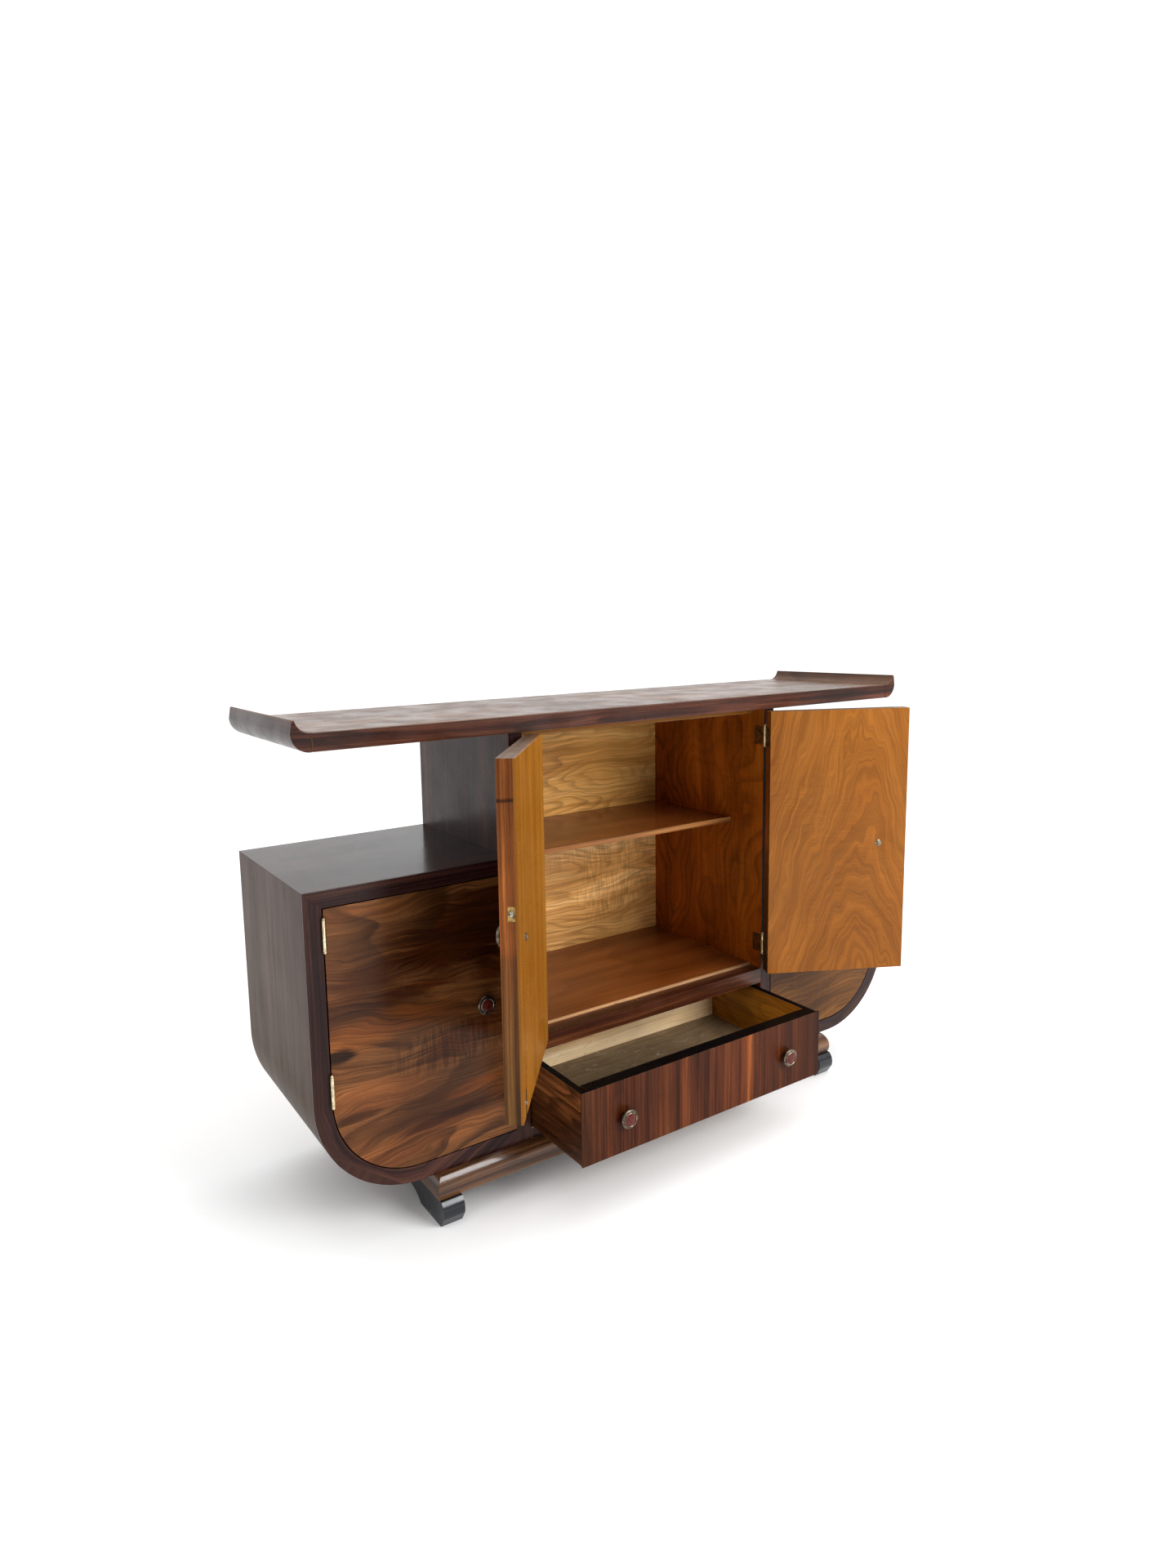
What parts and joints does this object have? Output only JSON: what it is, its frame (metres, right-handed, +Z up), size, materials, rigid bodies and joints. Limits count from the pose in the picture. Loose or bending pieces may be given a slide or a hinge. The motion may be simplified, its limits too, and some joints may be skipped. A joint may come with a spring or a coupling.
{
  "type": "sideboard cocktail cabinet",
  "caption": "Walnut sideboard with a tall two-door centre tower under a floating top with scooped ends, round-cornered wing cupboards, a drawer and scroll feet.",
  "frame": {"origin": "floor level, under the centre of the whole outline with both tower doors standing open", "axes": "+X to the viewer's right, +Y towards the back, +Z up"},
  "size_m": [1.5366, 0.6478, 0.97],
  "materials": {
    "walnut_top": "gloss",
    "walnut_case": "gloss",
    "golden_back": "gloss",
    "red_polished_wood": "gloss",
    "bare_lipping": "matte",
    "pink_lipping": "satin",
    "dark_edging": "gloss",
    "plain_plywood": "matte",
    "figured_walnut": "gloss",
    "striped_walnut": "gloss",
    "honey_lining": "gloss",
    "polished_plinth": "gloss",
    "black_lacquer": "satin",
    "aged_knob_metal": "satin",
    "hinge_brass": "satin",
    "lock_brass": "satin",
    "steel": "satin"
  },
  "bodies": {
    "carcass": {"top_board": "walnut_top", "top_end_left": "walnut_top", "top_end_right": "walnut_top", "sub_top": "walnut_top", "tower_side_left": "walnut_case", "tower_side_right": "walnut_case", "tower_back": "golden_back", "tower_floor": "red_polished_wood", "floor_lip": "bare_lipping", "tower_rail": "dark_edging", "shelf": "red_polished_wood", "shelf_lip": "pink_lipping", "shelf_pins": "steel", "wing_top_left": "walnut_case", "wing_top_right": "walnut_case", "wing_side_left": "walnut_case", "wing_side_right": "walnut_case", "wing_bottom_left": "walnut_case", "wing_bottom_right": "walnut_case", "wing_edging_left": "dark_edging", "wing_edging_right": "dark_edging", "wing_backs": "plain_plywood", "base_board": "dark_edging", "plinth_front": "polished_plinth", "plinth_left": "polished_plinth", "plinth_right": "polished_plinth", "plinth_rear": "polished_plinth", "feet": "black_lacquer", "drawer_runners": "plain_plywood", "tower_hinge_frame_leaves": "hinge_brass", "wing_hinge_frame_leaves": "hinge_brass", "bolt_keeper": "lock_brass"},
    "left_tower_door": {"tower_door_left": "figured_walnut", "tower_lining_left": "honey_lining", "tower_hinge_leaves_left": "hinge_brass", "tower_knob_left": "aged_knob_metal", "escutcheon": "lock_brass", "lock_case": "lock_brass", "bolt_plate": "lock_brass"},
    "key_bolt": {"lock_bolt": "steel"},
    "slide_bolt": {"flush_bolt": "steel"},
    "right_tower_door": {"tower_door_right": "figured_walnut", "tower_lining_right": "honey_lining", "tower_hinge_leaves_right": "hinge_brass", "tower_knob_right": "aged_knob_metal", "strike_plate": "lock_brass"},
    "left_wing_door": {"wing_door_left": "figured_walnut", "wing_hinge_leaves_left": "hinge_brass", "wing_knob_left": "aged_knob_metal"},
    "right_wing_door": {"wing_door_right": "figured_walnut", "wing_hinge_leaves_right": "hinge_brass", "wing_knob_right": "aged_knob_metal"},
    "drawer": {"drawer_front": "striped_walnut", "drawer_side_left": "walnut_case", "drawer_side_right": "walnut_case", "drawer_back": "plain_plywood", "drawer_bottom": "plain_plywood", "drawer_knobs": "aged_knob_metal"}
  },
  "joints": [
    {"name": "left_tower_door_hinge", "type": "hinge", "parent": "carcass", "child": "left_tower_door", "pos_m": [-0.32, -0.06014, 0], "axis": [0, 0, -1], "range_deg": [-131, 34]},
    {"name": "right_tower_door_hinge", "type": "hinge", "parent": "carcass", "child": "right_tower_door", "pos_m": [0.32, -0.06014, 0], "axis": [0, 0, 1], "range_deg": [-153, 12]},
    {"name": "left_wing_door_hinge", "type": "hinge", "parent": "carcass", "child": "left_wing_door", "pos_m": [-0.728, -0.06014, 0], "axis": [0, 0, 1], "range_deg": [-3.5, 0]},
    {"name": "right_wing_door_hinge", "type": "hinge", "parent": "carcass", "child": "right_wing_door", "pos_m": [0.728, -0.06014, 0], "axis": [0, 0, -1], "range_deg": [-3, 0]},
    {"name": "drawer_slide", "type": "slide", "parent": "carcass", "child": "drawer", "axis": [0, -1, 0], "range_m": [-0.172, 0.068]},
    {"name": "lock_bolt_slide", "type": "slide", "parent": "left_tower_door", "child": "key_bolt", "axis": [-0.6561, -0.7547, 0], "range_m": [0, 0.008]},
    {"name": "flush_bolt_slide", "type": "slide", "parent": "left_tower_door", "child": "slide_bolt", "axis": [0, 0, -1], "range_m": [0, 0.01]}
  ]
}
